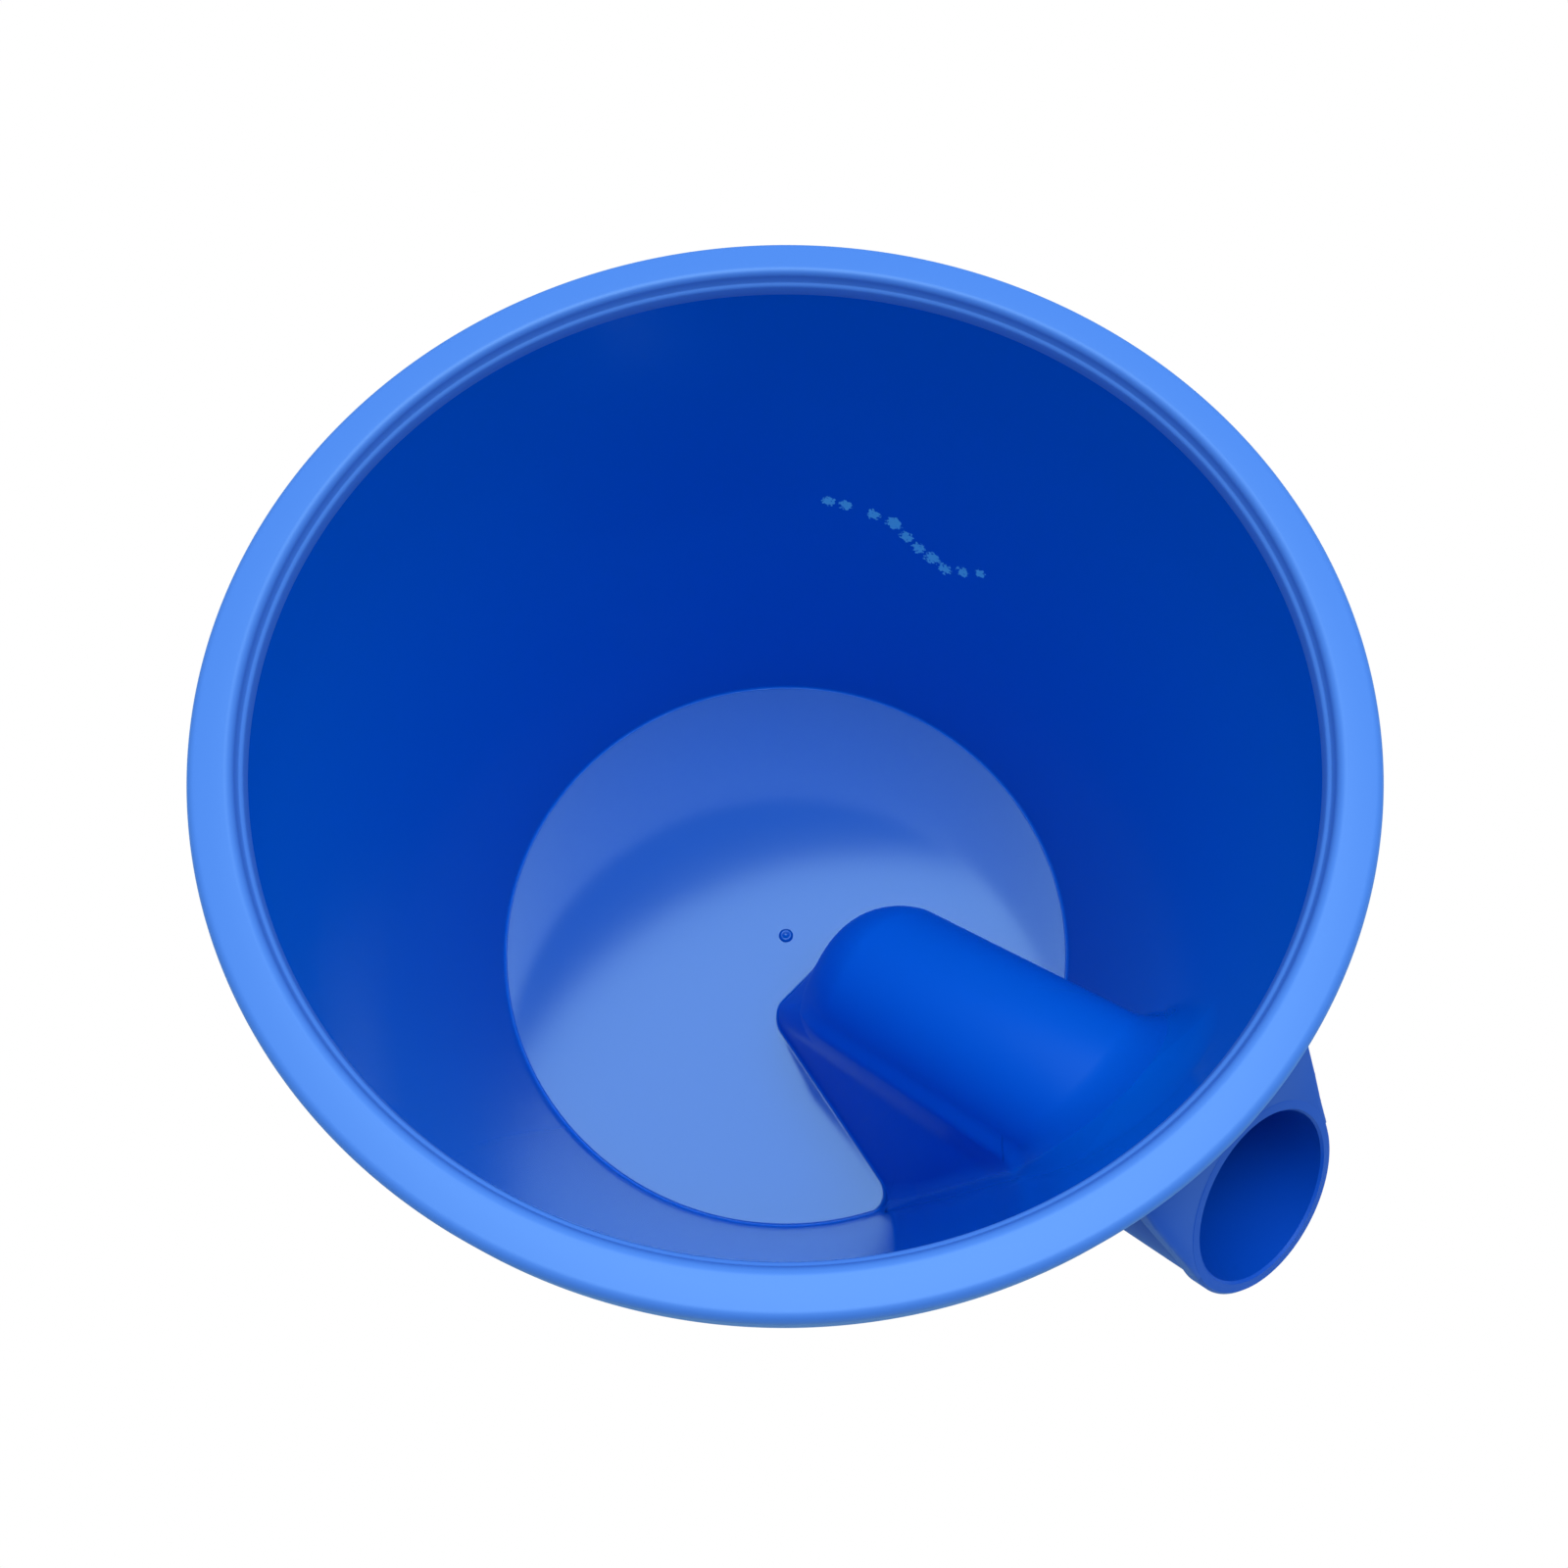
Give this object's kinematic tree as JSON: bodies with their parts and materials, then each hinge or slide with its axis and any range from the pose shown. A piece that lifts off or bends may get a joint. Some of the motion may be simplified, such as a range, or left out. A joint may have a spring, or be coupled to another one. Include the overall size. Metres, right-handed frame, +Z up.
{
  "type": "water dipper head with a pole socket",
  "caption": "Round plastic dipper head: a tapered open cup with a rolled rim and a slanted blind socket for a pole, moulded as one piece.",
  "frame": {"origin": "centre of the cup's underside, on the ground plane", "axes": "+Z up along the cup's axis, +X towards the pole socket, and the XZ plane is the plane of symmetry"},
  "size_m": [0.279, 0.25, 0.166],
  "materials": {
    "rim_plastic": "satin",
    "wall_plastic": "gloss",
    "floor_plastic": "semi-gloss"
  },
  "bodies": {
    "root": {"rolled_rim": "rim_plastic", "cup_wall": "wall_plastic", "cup_floor": "floor_plastic", "tunnel_roof": "wall_plastic", "tunnel_side_left": "wall_plastic", "tunnel_side_right": "wall_plastic", "tunnel_end_wall": "wall_plastic", "socket_cradle": "wall_plastic", "socket_stop": "wall_plastic", "socket_collar": "wall_plastic", "collar_gusset": "wall_plastic"}
  },
  "joints": []
}
